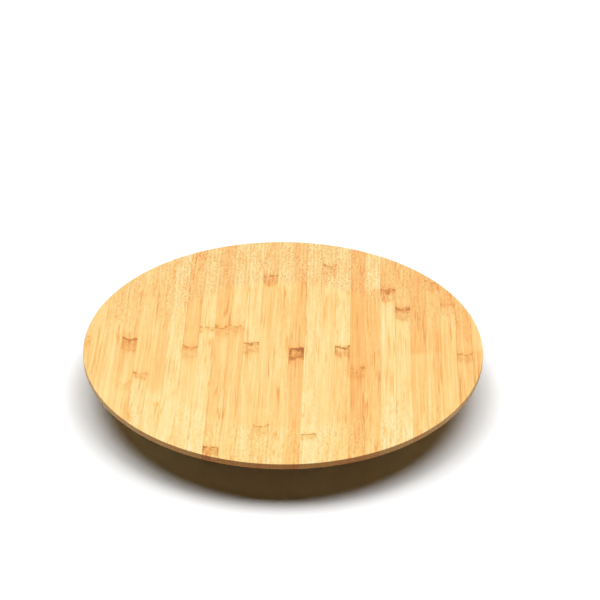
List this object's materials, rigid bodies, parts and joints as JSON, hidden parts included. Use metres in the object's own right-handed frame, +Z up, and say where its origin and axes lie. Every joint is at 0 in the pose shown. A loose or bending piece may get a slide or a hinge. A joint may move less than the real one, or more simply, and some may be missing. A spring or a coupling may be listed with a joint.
{
  "type": "lazy susan turntable",
  "caption": "Round dished bamboo serving board that spins on a flat ball bearing over a smaller bamboo base disc with rubber feet.",
  "frame": {"origin": "on the surface that the turntable stands on, under the turning axis", "axes": "+Z up along the turning axis, +Y along the bamboo strips, +X towards the screwdriver hole in the base disc"},
  "size_m": [0.35, 0.35, 0.038],
  "materials": {
    "oiled_bamboo_board": "sanded and oiled edge-glued bamboo strips",
    "oiled_bamboo_base": "sanded and oiled edge-glued bamboo strips",
    "galvanised_steel": "stamped sheet with a bright zinc coat",
    "cage_plastic": "moulded, natural white",
    "ball_steel": "ground and polished",
    "zinc_plated_screw": "zinc plated",
    "zinc_plated_washer": "zinc plated",
    "foot_rubber": "moulded black rubber"
  },
  "bodies": {
    "base": {"base_disc": "oiled_bamboo_base", "bearing_lower_plate": "galvanised_steel", "lower_plate_screw_1": "zinc_plated_screw", "lower_plate_screw_2": "zinc_plated_screw", "lower_plate_screw_3": "zinc_plated_screw", "lower_plate_screw_4": "zinc_plated_screw", "foot_1": "foot_rubber", "foot_2": "foot_rubber", "foot_3": "foot_rubber", "foot_4": "foot_rubber", "foot_washer_1": "zinc_plated_washer", "foot_washer_2": "zinc_plated_washer", "foot_washer_3": "zinc_plated_washer", "foot_washer_4": "zinc_plated_washer", "foot_screw_1": "zinc_plated_screw", "foot_screw_2": "zinc_plated_screw", "foot_screw_3": "zinc_plated_screw", "foot_screw_4": "zinc_plated_screw"},
    "turntable": {"top_board": "oiled_bamboo_board", "bearing_upper_plate": "galvanised_steel", "upper_plate_screw_1": "zinc_plated_screw", "upper_plate_screw_2": "zinc_plated_screw", "upper_plate_screw_3": "zinc_plated_screw", "upper_plate_screw_4": "zinc_plated_screw"},
    "ball_ring": {"ball_cage": "cage_plastic", "bearing_balls": "ball_steel"}
  },
  "joints": [
    {"name": "table_spin", "type": "hinge", "parent": "base", "child": "turntable", "pos_m": [0, 0, 0.018], "axis": [0, 0, 1], "continuous": true},
    {"name": "cage_orbit", "type": "hinge", "parent": "base", "child": "ball_ring", "pos_m": [0, 0, 0.018], "axis": [0, 0, 1], "continuous": true}
  ],
  "couplings": [
    {"joint": "cage_orbit", "follows": "table_spin", "ratio": 0.5}
  ]
}
